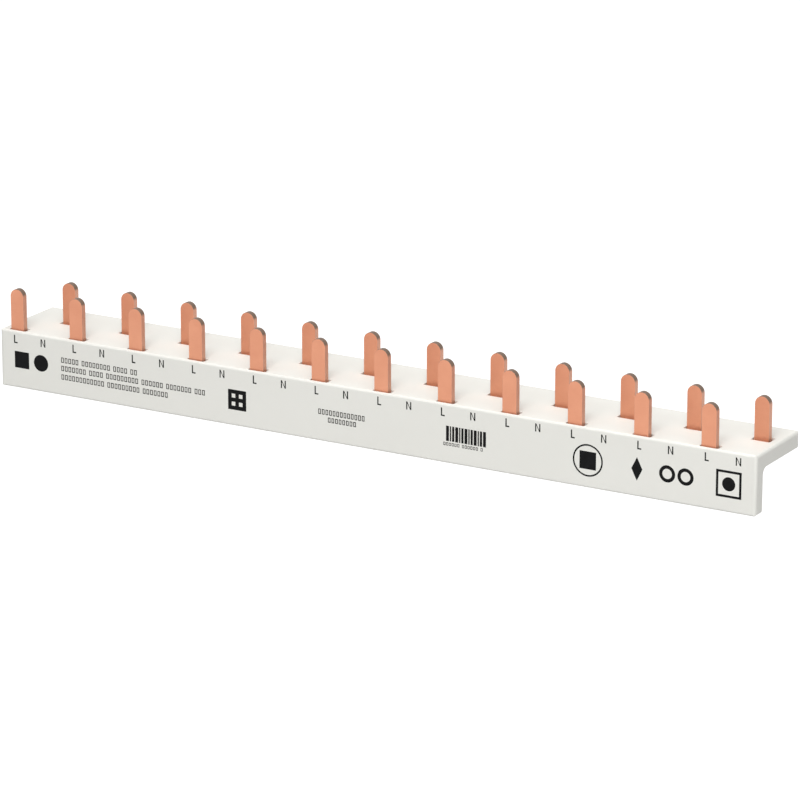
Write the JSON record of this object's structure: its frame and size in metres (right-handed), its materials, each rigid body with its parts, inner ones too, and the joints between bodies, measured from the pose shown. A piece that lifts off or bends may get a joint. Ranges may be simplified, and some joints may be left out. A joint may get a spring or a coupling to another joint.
{
  "type": "comb busbar",
  "caption": "Comb busbar that feeds a row of breakers: flat copper pins in a front and a rear row stand up through the top of a long white insulating housing of L section.",
  "frame": {"origin": "on the seat face, in the middle plane of the line pins, halfway along their row", "axes": "+X along the busbar, the way each neutral pin is stepped from its line pin; +Y from the line row to the neutral row; +Z out of the seat face, the way the pins point"},
  "size_m": [0.2112, 0.0228, 0.0255],
  "materials": {
    "housing": "off-white, matt, moulded",
    "copper": "bare copper, matt, stamped",
    "print": "thin matt ink on the front wall"
  },
  "bodies": {
    "root": {"housing_shell": "housing", "housing_cover": "housing", "line_comb": "copper", "neutral_comb": "copper", "left_end_cap": "housing", "right_end_cap": "housing"}
  },
  "joints": []
}
